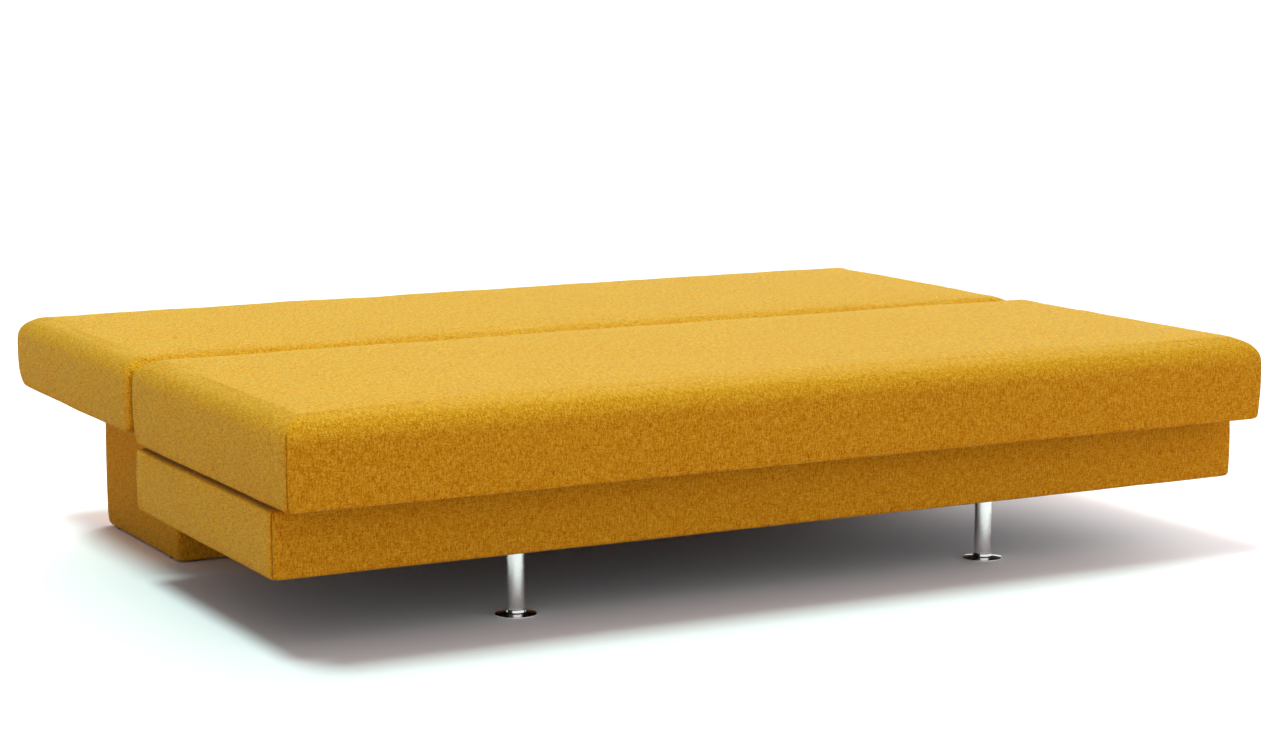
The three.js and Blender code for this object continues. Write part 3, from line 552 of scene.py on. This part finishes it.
def fill_cover(obj, held, pressure, most):
    """Lets cloth with air inside settle, then keeps each point's outward move along its normal.

    What is kept is most times the hyperbolic tangent of the move over most.
    """
    scene = bpy.context.scene
    mesh = obj.data
    start = coordinates(mesh)
    group = obj.vertex_groups.new(name="held")
    group.add(np.unique(held).tolist(), 1.0, "REPLACE")
    cloth = obj.modifiers.new("cloth", "CLOTH")
    for name, value in {
        "quality": 5, "mass": 0.4, "tension_stiffness": 25, "compression_stiffness": 25,
        "shear_stiffness": 10, "bending_stiffness": 1.5, "use_pressure": True,
        "uniform_pressure_force": pressure, "vertex_group_mass": "held",
    }.items():
        setattr(cloth.settings, name, value)
    cloth.settings.effector_weights.gravity = 0.0
    cloth.collision_settings.use_collision = False
    cloth.point_cache.frame_start = 1
    cloth.point_cache.frame_end = FRAMES
    for step in range(1, FRAMES + 1):
        scene.frame_set(step)
    settled = coordinates(obj.evaluated_get(bpy.context.evaluated_depsgraph_get()).data)
    obj.modifiers.remove(cloth)
    obj.vertex_groups.clear()
    scene.frame_set(1)
    out = normals(mesh)
    swell = np.sum((settled - start) * out, axis=1, keepdims=True)
    place_points(mesh, start + out * most * np.tanh(np.maximum(swell, 0.0) / most))


def settle(obj):
    """Replaces the mesh by what its modifiers make of it."""
    kept = obj.data
    depsgraph = bpy.context.evaluated_depsgraph_get()
    depsgraph.update()
    obj.data = bpy.data.meshes.new_from_object(obj.evaluated_get(depsgraph))
    obj.modifiers.clear()
    bpy.data.meshes.remove(kept)
    obj.data.name = obj.name


def smooth_once(obj):
    """One round of subdivision, taken into the mesh."""
    modifier = obj.modifiers.new("subdivide", "SUBSURF")
    modifier.levels = modifier.render_levels = 1
    settle(obj)


def box_room(low, high):
    """A box between two corners, as a section across X."""
    low, high = np.minimum(low, high), np.maximum(low, high)
    section = [(low[1], low[2]), (high[1], low[2]), (high[1], high[2]), (low[1], high[2])]
    return section, (low[0], high[0])


def carve(obj, *rooms):
    """Takes rooms out of a piece. Each is a section of Y and Z, run anticlockwise, carried along X."""
    for section, (near, far) in rooms:
        count = len(section)
        points = np.array([(x, y, z) for x in (min(near, far), max(near, far)) for y, z in section])
        row = np.arange(count)
        after = (row + 1) % count
        sides = np.stack([row, after, after + count, row + count], -1).tolist()
        tool_mesh = bpy.data.meshes.new("room")
        tool_mesh.from_pydata(points, [], [*sides, row[::-1].tolist(), (row + count).tolist()])
        tool = linked("room", tool_mesh)
        modifier = obj.modifiers.new("room", "BOOLEAN")
        modifier.operation = "DIFFERENCE"
        modifier.solver = "EXACT"
        modifier.object = tool
        settle(obj)
        bpy.data.objects.remove(tool)
        bpy.data.meshes.remove(tool_mesh)


def map_cloth(mesh, edge_level):
    """Lays the cloth map: the place seen from above, drawn out past each edge by the drop below it."""
    points = coordinates(mesh)
    corners = np.empty(len(mesh.loops), np.int32)
    mesh.loops.foreach_get("vertex_index", corners)
    starts = np.empty(len(mesh.polygons), np.int32)
    mesh.polygons.foreach_get("loop_start", starts)
    facing = np.empty(3 * len(mesh.polygons))
    mesh.polygons.foreach_get("normal", facing)
    facing = facing.reshape(-1, 3)
    order = np.zeros(len(mesh.loops), int)
    order[starts] = 1
    facing = facing[np.cumsum(order) - 1]
    drop = np.maximum(edge_level - points[corners, 2], 0.0)
    drop[facing[:, 2] < -0.9] = 0.0
    across = np.abs(facing[:, 0]) > np.abs(facing[:, 1])
    u = points[corners, 0] + np.where(across, np.sign(facing[:, 0]) * drop, 0.0)
    v = points[corners, 1] + np.where(across, 0.0, np.sign(facing[:, 1]) * drop)
    layer = mesh.uv_layers.get("cloth") or mesh.uv_layers.new(name="cloth")
    layer.data.foreach_set("uv", np.stack([u, v], -1).ravel())


def dress(obj, material, edge_level, sharp=math.radians(45)):
    """Gives a cloth piece its map, its smooth shading and its material."""
    mesh = obj.data
    map_cloth(mesh, edge_level)
    mesh.polygons.foreach_set("use_smooth", np.ones(len(mesh.polygons), bool))
    mesh.set_sharp_from_angle(angle=sharp)
    mesh.materials.clear()
    mesh.materials.append(material)
    mesh.polygons.foreach_set("material_index", np.zeros(len(mesh.polygons), np.int32))
    mesh.update()


def corners_of(node):
    low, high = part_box(node)
    return np.array(low), np.array(high)


def cloth_material():
    return bpy.data.materials.get("mustard_weave") or woven_cloth("mustard_weave")


# Mattresses

def hinge_rooms(low_y, high_y, low_z):
    """Room round both hinges, from the underside up to just over the pivot eyes."""
    pin_low, pin_high = corners_of("right_hinge_pin")
    arm_low, _ = corners_of("right_pawl_pin")
    _, arm_high = corners_of("right_hinge_bracket")
    room = 5 * MM
    inner, outer = arm_low[0] - room, pin_high[0] + room
    pivot = (pin_low + pin_high) / 2
    eye = arm_high[2] - pivot[2] + 1.5 * MM
    turn = np.linspace(0.0, math.pi, 13)
    over = [(pivot[1] + eye * math.cos(t), pivot[2] + eye * math.sin(t)) for t in turn]
    base_z = low_z - BEYOND
    section = [(low_y, base_z), (high_y, base_z), (high_y, pivot[2]), *over, (low_y, pivot[2])]
    return [(section, (side * inner, side * outer)) for side in (-1, 1)]


def frame_room(prefix):
    """The pocket of a mattress that holds its frame."""
    low, _ = corners_of(f"{prefix}_dust_cover")
    _, high = corners_of(f"{prefix}_deck")
    return box_room(low - [FIT_GAP, FIT_GAP, BEYOND], high + FIT_GAP)


def make_mattress(name, low, high, shape, rooms, seed):
    """Forms, fills, sews and carves one mattress."""
    m = settings().mattress
    obj, upright, held = padded_block(name, low, high - [0.0, 0.0, m.swell], shape)
    fill_cover(obj, held, AIR, m.swell)
    points = coordinates(obj.data)
    points[:, :2] = np.clip(points[:, :2], low[:2], high[:2])
    place_points(obj.data, points)
    rise = waves(points, m.unevenness, seed)
    rise[held] = 0.0
    place_points(obj.data, points + normals(obj.data) * rise[:, None])
    press_seams(obj, upright, m.groove)
    smooth_once(obj)
    carve(obj, *rooms)
    dress(obj, cloth_material(), high[2])
    return obj


def mattress_shape():
    m = settings().mattress
    return {
        "cell": m.cell, "corner_steps": 3, "crown": m.crown, "belly": m.belly, "end_hem": m.front_hem,
        "end_top": m.end_edge,
    }


class SOFABED_OT_seat_mattress(Operator):
    """Makes the front mattress, which is the seat"""
    bl_idname = "sofabed.seat_mattress"
    bl_label = "Seat Mattress"

    def execute(self, context):
        m = settings().mattress
        low, high = corners_of("seat_cushion")
        shape = mattress_shape() | {
            "front_hem": m.front_hem, "rear_hem": m.seam_hem, "front_top": m.outer_edge,
            "rear_top": m.seam_edge, "front_corner": m.front_corner, "rear_corner": m.seam_corner,
        }
        _, frame_high = corners_of("seat_deck")
        rooms = [frame_room("seat"), *hinge_rooms(frame_high[1], high[1] + BEYOND, low[2])]
        low, high = low - [m.spread, 0.0, 0.0], high + [m.spread, 0.0, m.seat_rise]
        obj = make_mattress("seat_mattress", low, high, shape, rooms, seed=11)
        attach(obj, "seat")
        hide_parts("seat_cushion")
        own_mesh(obj)
        return {"FINISHED"}


class SOFABED_OT_back_mattress(Operator):
    """Makes the rear mattress, which is the back"""
    bl_idname = "sofabed.back_mattress"
    bl_label = "Back Mattress"

    def execute(self, context):
        m = settings().mattress
        low, high = corners_of("back_cushion")
        shape = mattress_shape() | {
            "front_hem": m.seam_hem, "rear_hem": m.rear_hem, "front_top": m.back_edge,
            "rear_top": m.outer_edge, "front_corner": m.back_corner, "rear_corner": m.rear_corner,
        }
        frame_low, _ = corners_of("back_deck")
        rooms = [frame_room("back"), *hinge_rooms(low[1] - BEYOND, frame_low[1], low[2])]
        arm_low, arm_high = corners_of("right_hinge_back_arm")
        _, rail_high = corners_of("back_left_rail")
        arm_rise = 26 * MM  # from the middle of a rail's height to over the hinge arm on it
        arm_top = (low[2] + rail_high[2]) / 2 + arm_rise
        for side in (-1, 1):
            rooms.append(box_room(
                (side * (arm_low[0] - FIT_GAP), frame_low[1] - FIT_GAP, low[2] - BEYOND),
                (side * (arm_high[0] + FIT_GAP), arm_high[1] + FIT_GAP, arm_top),
            ))
        low, high = low - [m.spread, 0.0, 0.0], high + [m.spread, m.spread, m.back_rise]
        obj = make_mattress("back_mattress", low, high, shape, rooms, seed=23)
        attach(obj, "back")
        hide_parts("back_cushion")
        return {"FINISHED"}


# Covers of the bedding box and the plinth

def make_cover(name, low, high, shape, rooms, seed):
    """Forms, sews and hollows one fitted cover."""
    cover = settings().cover
    obj, upright, _ = padded_block(name, low, high, shape)
    points = coordinates(obj.data)
    rise = waves(points, cover.unevenness, seed)
    place_points(obj.data, points + normals(obj.data) * np.minimum(rise, FIT_GAP)[:, None])
    press_seams(obj, upright, cover.groove)
    carve(obj, *rooms)
    dress(obj, cloth_material(), high[2])
    return obj


def cover_shape(rear_hem):
    cover = settings().cover
    return {
        "cell": cover.cell, "corner_steps": 3, "crown": 0.0, "belly": cover.belly,
        "front_hem": cover.hem, "rear_hem": rear_hem, "end_hem": cover.hem,
        "front_top": cover.top_edge, "rear_top": cover.rear_top, "end_top": cover.top_edge,
        "front_corner": cover.corner, "rear_corner": cover.corner,
    }


class SOFABED_OT_box_upholstery(Operator):
    """Makes the cloth cover of the bedding box"""
    bl_idname = "sofabed.box_upholstery"
    bl_label = "Bedding Box Cover"

    def execute(self, context):
        cover = settings().cover
        low, high = corners_of("box_cover")
        rooms = [
            box_room(low + cover.wall, high - cover.wall),
            box_room(low + [cover.lip, cover.lip, -BEYOND], high + [-cover.lip, -cover.lip, BEYOND]),
        ]
        ends = np.array([cover.box_ends, 0.0, 0.0])
        obj = make_cover("box_upholstery", low - ends, high + ends, cover_shape(cover.hem), rooms, seed=37)
        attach(obj, "base")
        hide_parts("box_cover")
        return {"FINISHED"}


class SOFABED_OT_plinth_upholstery(Operator):
    """Makes the cloth cover of the plinth"""
    bl_idname = "sofabed.plinth_upholstery"
    bl_label = "Plinth Cover"

    def execute(self, context):
        cover = settings().cover
        low, high = corners_of("plinth_cover")
        lift = cover.rear_hem
        rooms = [
            box_room(low + [cover.wall, cover.wall, -BEYOND], high - [cover.wall, lift, cover.wall]),
            box_room(low + [cover.wall, cover.wall, lift], high - cover.wall),
        ]
        obj = make_cover("plinth_upholstery", low, high, cover_shape(cover.rear_hem), rooms, seed=41)
        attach(obj, "base")
        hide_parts("plinth_cover")
        return {"FINISHED"}


# Legs

def turned(name, profile, place, steps, material):
    """A profile of radius and height turned about an upright line, by the cosine and sine."""
    profile = np.array(profile)
    angle = np.linspace(0, 2 * math.pi, steps, endpoint=False)
    ring = profile[:, 0, None]
    points = np.stack([
        place[0] + ring * np.cos(angle), place[1] + ring * np.sin(angle),
        np.broadcast_to(place[2] + profile[:, 1, None], (len(profile), steps)),
    ], -1)
    row = np.arange(len(profile))[:, None] * steps
    column = np.arange(steps)
    after = (column + 1) % steps
    upper = np.roll(row, -1, axis=0)
    faces = np.stack([row + column, row + after, upper + after, upper + column], -1).reshape(-1, 4)
    mesh = bpy.data.meshes.new(name)
    mesh.from_pydata(points.reshape(-1, 3), [], faces.tolist())
    mesh.materials.append(material)
    mesh.polygons.foreach_set("use_smooth", np.ones(len(mesh.polygons), bool))
    mesh.update()
    mesh.set_sharp_from_angle(angle=math.radians(40))
    return linked(name, mesh)


def rounded(corner, before, after, radius, steps=5):
    """Rounds a corner of a profile: the quadratic blend of its two tangent points and itself."""
    corner, before, after = (np.array(point, float) for point in (corner, before, after))
    start = corner + (before - corner) * radius / np.linalg.norm(before - corner)
    end = corner + (after - corner) * radius / np.linalg.norm(after - corner)
    t = np.linspace(0, 1, steps)[:, None]
    return ((1 - t) ** 2 * start + 2 * t * (1 - t) * corner + t ** 2 * end).tolist()


def metal(name, base, roughness, scratch, brushed=0.0):
    """Metal whose roughness drifts with fine noise. A brushed one has rings round its upright line."""
    f = Finish(name)
    place = f.place()
    grain = f.noise(place, 900.0, 3.0)
    cloud = f.noise(place, 30.0, 2.0)
    rough = roughness + (grain - 0.5) * scratch + (cloud - 0.5) * scratch
    height = grain
    if brushed:
        height = f.noise(f.stretched(place, (20.0, 20.0, 5200.0)), 1.0, 2.0)
        rough = rough + (height - 0.5) * scratch
    relief = f.relief(0.15 + brushed, 0.04 * MM, height)
    tint = f.blend(f.spread(cloud, 0.3, 0.7), [0.96 * value for value in base], base)
    return f.close(tint, rough, relief, metallic=1.0)


class SOFABED_OT_front_legs(Operator):
    """Makes both front legs: a satin tube with its disc foot"""
    bl_idname = "sofabed.front_legs"
    bl_label = "Front Legs"

    def execute(self, context):
        leg = settings().leg
        satin = metal("satin_chrome", (0.80, 0.80, 0.79), 0.27, 0.06, brushed=0.2)
        bright = metal("bright_chrome", (0.82, 0.82, 0.81), 0.07, 0.02)
        bore = leg.tube_radius - leg.tube_wall
        spigot = bore - FIT_GAP
        dome = leg.foot_edge + leg.foot_dome
        collar = dome + leg.collar_height
        for hand in ("left", "right"):
            foot_low, foot_high = corners_of(f"{hand}_leg_foot")
            tube_low, tube_high = corners_of(f"{hand}_leg_tube")
            place = [*(foot_low[:2] + foot_high[:2]) / 2, 0.0]
            rim, rim_top = (leg.foot_radius, 0.0), (leg.foot_radius, leg.foot_edge)
            collar_low, collar_top = (leg.collar_radius, dome), (leg.collar_top, collar)
            ledge = (spigot, collar)
            foot_profile = [
                (0.0005, 0.0), *rounded(rim, (0.0, 0.0), rim_top, 0.6 * MM),
                *rounded(rim_top, rim, collar_low, 1.2 * MM),
                *rounded(collar_low, rim_top, collar_top, 1.0 * MM),
                *rounded(collar_top, collar_low, ledge, 0.7 * MM),
                ledge, (spigot, foot_high[2]), (0.0005, foot_high[2]),
            ]
            low, high = tube_low[2], tube_high[2]
            outer_low, outer_high = (leg.tube_radius, low), (leg.tube_radius, high)
            tube_profile = [
                (bore, low), *rounded(outer_low, (bore, low), outer_high, 0.5 * MM),
                *rounded(outer_high, outer_low, (bore, high), 0.5 * MM), (bore, high),
            ]
            foot = turned(f"{hand}_foot", foot_profile, place, leg.steps, bright)
            tube = turned(f"{hand}_tube", tube_profile, place, leg.steps, satin)
            pieces = (foot, "leg_foot", "chromed_steel"), (tube, "leg_tube", "satin_chrome")
            for piece, node, slot in pieces:
                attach(piece, "base")
                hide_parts(f"{hand}_{node}")
        return {"FINISHED"}


# Finishes of the frame, boards and hinges

AXES = {"x": 0, "y": 1, "z": 2}


def solid_wood(name, light, dark, along):
    """Planed timber: rings stretched along the grain, with fine pores."""
    f = Finish(name)
    scale = [38.0, 38.0, 38.0]
    scale[AXES[along]] = 2.2
    place = f.place()
    grained = f.stretched(place, scale)
    figure = f.noise(grained, 1.0, 4.0, 0.6)
    pores = f.noise(grained, 22.0, 2.0)
    rings = (figure * 34.0).math("SINE") * 0.5 + 0.5
    tone = f.spread(rings * 0.5 + figure * 0.4 + pores * 0.25, 0.2, 0.95)
    base = f.blend(tone, dark, light)
    relief = f.relief(0.3, 0.3 * MM, rings * 0.4 + pores)
    return f.close(base, 0.5 + pores * 0.2, relief)


def plywood(name, light, dark, across):
    """Birch plywood: thin veneers through its thickness, and faint figure on its faces."""
    f = Finish(name)
    place = f.place()
    veneer = 1.5 * MM
    ply = (f.parts(place)[AXES[across]] / veneer).math("FLOOR").math("FLOORED_MODULO", 2.0)
    scale = [9.0, 9.0, 30.0]
    scale[AXES[across]] = 60.0
    grained = f.stretched(place, scale)
    figure = f.noise(grained, 1.0, 5.0, 0.62)
    fine = f.noise(grained, 14.0, 2.0)
    facing = f.parts(f.wire("ShaderNodeNewGeometry", output=1))[AXES[across]].math("ABSOLUTE")
    edge = 1.0 - f.spread(facing, 0.4, 0.6)
    tone = f.spread(figure * 0.7 + fine * 0.3, 0.25, 0.75) * (1.0 - ply * edge * 0.75)
    base = f.blend(tone, dark, light)
    relief = f.relief(0.25, 0.3 * MM, fine + ply * edge)
    return f.close(base, 0.55 + fine * 0.2, relief)


def faced_board(name):
    """Hardboard with a dull charcoal face: a fine felted mottle and a faint grain."""
    f = Finish(name)
    place = f.place()
    mottle = f.noise(place, 220.0, 4.0, 0.65)
    grain = f.noise(place, 1300.0, 2.0)
    base = f.blend(f.spread(mottle, 0.3, 0.75), (0.020, 0.020, 0.021), (0.050, 0.050, 0.051))
    relief = f.relief(0.3, 0.2 * MM, grain)
    return f.close(base, 0.7 + mottle * 0.2, relief)


def dust_cloth(name):
    """Thin bonded cloth: dark fibres with a dimpled grid."""
    f = Finish(name)
    place = f.place()
    fibres = f.noise(place, 700.0, 4.0, 0.7)
    x, y, _ = f.parts(place)
    dimple = (x * 1400.0).math("SINE") * (y * 1400.0).math("SINE")
    base = f.blend(f.spread(fibres, 0.3, 0.75), (0.012, 0.012, 0.012), (0.055, 0.053, 0.05))
    relief = f.relief(0.5, 0.3 * MM, fibres + dimple * 0.3)
    return f.close(base, 0.85 + fibres * 0.12, relief)


def coated_steel(name):
    """Black powder coat: fine orange-peel relief and a low gloss."""
    f = Finish(name)
    place = f.place()
    peel = f.noise(place, 1100.0, 2.0)
    cloud = f.noise(place, 40.0, 2.0)
    base = f.blend(f.spread(cloud, 0.3, 0.7), (0.014, 0.014, 0.015), (0.024, 0.024, 0.026))
    relief = f.relief(0.5, 0.15 * MM, peel)
    return f.close(base, 0.4 + peel * 0.15, relief)


def rubber(name):
    """Moulded black rubber with a faint grain."""
    f = Finish(name)
    place = f.place()
    grain = f.noise(place, 1500.0, 3.0)
    base = f.blend(grain, (0.012, 0.012, 0.012), (0.03, 0.03, 0.03))
    relief = f.relief(0.3, 0.1 * MM, grain)
    return f.close(base, 0.7 + grain * 0.2, relief)


class SOFABED_OT_frame_finishes(Operator):
    """Finishes the boards, rails, decks, hinges, stretchers and buffers"""
    bl_idname = "sofabed.frame_finishes"
    bl_label = "Frame Finishes"

    def execute(self, context):
        ply = {axis: plywood(f"birch_ply_{axis}", (0.72, 0.52, 0.30), (0.46, 0.29, 0.13), axis)
               for axis in AXES}
        beech = {axis: solid_wood(f"beech_{axis}", (0.60, 0.37, 0.19), (0.42, 0.23, 0.10), axis)
                 for axis in ("x", "y")}
        zinc = metal("zinc_plate", (0.55, 0.56, 0.56), 0.36, 0.12)
        black, pad = coated_steel("black_powder_coat"), rubber("black_rubber")
        dust, faced = dust_cloth("dust_cloth"), faced_board("charcoal_faced_board")
        rules = [
            ("dust_cover", dust), ("_deck", ply["z"]), ("bottom_panel", faced), ("top_board", ply["z"]),
            ("front_board", ply["y"]), ("rear_board", ply["y"]), ("_board", ply["x"]),
            ("front_rail", beech["x"]), ("rear_rail", beech["x"]), ("_rail", beech["y"]),
            ("glide", pad), ("buffer", pad), ("ratchet", zinc), ("pin", zinc), ("pawl", zinc),
            ("bracket", black), ("arm", black), ("leg_plate", black), ("stretcher", black),
        ]
        replaced = {"seat_cushion", "back_cushion", "box_cover", "plinth_cover"}
        replaced |= {f"{hand}_{node}" for hand in ("left", "right") for node in ("leg_foot", "leg_tube")}
        for name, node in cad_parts.items():
            if name in replaced:
                continue
            material = next((made for word, made in rules if word in name), None)
            if material is None:
                raise RuntimeError(f"no finish for {name}")
            for place in node.material_slots:
                place.material = material
        return {"FINISHED"}


# Stage

class SOFABED_OT_stage(Operator):
    """Sets up the pale floor, the soft light and the camera"""
    bl_idname = "sofabed.stage"
    bl_label = "Stage"

    def execute(self, context):
        stage = settings().stage
        scene = context.scene
        scene.view_settings.view_transform = "Standard"
        reach = 60.0
        mesh = bpy.data.meshes.new("floor")
        corners = [(-reach, -reach, 0), (reach, -reach, 0), (reach, reach, 0), (-reach, reach, 0)]
        mesh.from_pydata(corners, [], [(0, 1, 2, 3)])
        floor = linked("floor", mesh)
        paint = Finish("floor_paint")
        seen = paint.seen_by("Camera", "Glossy")
        lit = paint.wire("ShaderNodeBsdfDiffuse", values={"Color": (*stage.floor_bounce, 1.0)})
        shown = paint.wire("ShaderNodeBsdfDiffuse", values={"Color": (*stage.floor_white, 1.0)})
        both = paint.wire("ShaderNodeMixShader", values={0: seen, 1: lit, 2: shown})
        paint.node("ShaderNodeOutputMaterial", values={"Surface": both})
        mesh.materials.append(paint.material)

        world = bpy.data.worlds.new("studio")
        scene.world = world
        air = Finish(world.name, world)
        right, back, rise = air.parts(air.wire("ShaderNodeTexCoord", output=0))
        rise = rise.math("MAXIMUM", 0.0)
        lean, to_one = 0.4, 9.5  # the most of rise times (1 - rise) cubed becomes one
        missing = stage.left * (lean * back - right).math("MAXIMUM", 0.0) * rise ** 0.7
        corner = 2.0 * back.math("MAXIMUM", 0.0) * right.math("MAXIMUM", 0.0)
        extra = stage.rear * corner * corner * to_one * rise * (1.0 - rise) ** 3.0
        glow = stage.sky * (1.0 - missing) + extra
        white = (1.0, 1.0, 1.0, 1.0)
        lit = air.wire("ShaderNodeBackground", values={"Color": white, "Strength": glow})
        shown = air.wire("ShaderNodeBackground", values={"Color": white, "Strength": 1.0})
        shown_ray = air.seen_by("Camera", "Glossy", "Transmission")
        mix = air.wire("ShaderNodeMixShader", values={0: shown_ray, 1: lit, 2: shown})
        air.node("ShaderNodeOutputWorld", values={"Surface": mix})

        light = bpy.data.lights.new("soft_light", "SUN")
        light.energy = stage.sun
        light.color = stage.sun_colour
        light.angle = stage.sun_size
        lamp = bpy.data.objects.new("soft_light", light)
        lamp.rotation_euler = stage.sun_tilt
        scene.collection.objects.link(lamp)

        data = bpy.data.cameras.new("camera")
        data.sensor_fit = "HORIZONTAL"
        data.sensor_width = 36.0
        data.lens = stage.lens
        data.clip_end = 200.0
        camera = bpy.data.objects.new("camera", data)
        camera.location = stage.camera
        camera.rotation_euler = (math.pi / 2 - stage.pitch, 0.0, -stage.yaw)
        scene.collection.objects.link(camera)
        scene.camera = camera
        return {"FINISHED"}


class SOFABED_PT_panel(Panel):
    """Lists the steps that dress the sofa bed"""
    bl_label = "Sofa Bed"
    bl_idname = "SOFABED_PT_panel"
    bl_space_type = "VIEW_3D"
    bl_region_type = "UI"
    bl_category = "Sofa Bed"

    def draw(self, context):
        for step in STEPS:
            self.layout.operator(step.bl_idname)
        for name in ("cloth", "mattress", "cover", "leg", "stage"):
            group = getattr(context.scene.sofa_bed, name)
            box = self.layout.box()
            for prop in group.bl_rna.properties:
                if prop.identifier not in {"rna_type", "name"}:
                    box.prop(group, prop.identifier)


GROUPS = (ClothSettings, MattressSettings, CoverSettings, LegSettings, StageSettings, SofaBedSettings)
STEPS = (
    SOFABED_OT_seat_mattress, SOFABED_OT_back_mattress, SOFABED_OT_box_upholstery,
    SOFABED_OT_plinth_upholstery, SOFABED_OT_front_legs, SOFABED_OT_frame_finishes, SOFABED_OT_stage,
)


def register():
    for cls in (*GROUPS, *STEPS, SOFABED_PT_panel):
        bpy.utils.register_class(cls)
    bpy.types.Scene.sofa_bed = PointerProperty(type=SofaBedSettings)


def unregister():
    del bpy.types.Scene.sofa_bed
    for cls in reversed((*GROUPS, *STEPS, SOFABED_PT_panel)):
        bpy.utils.unregister_class(cls)


def main():
    register()
    for step in STEPS:
        area, name = step.bl_idname.split(".")
        getattr(getattr(bpy.ops, area), name)()


if __name__ == "__main__":
    main()
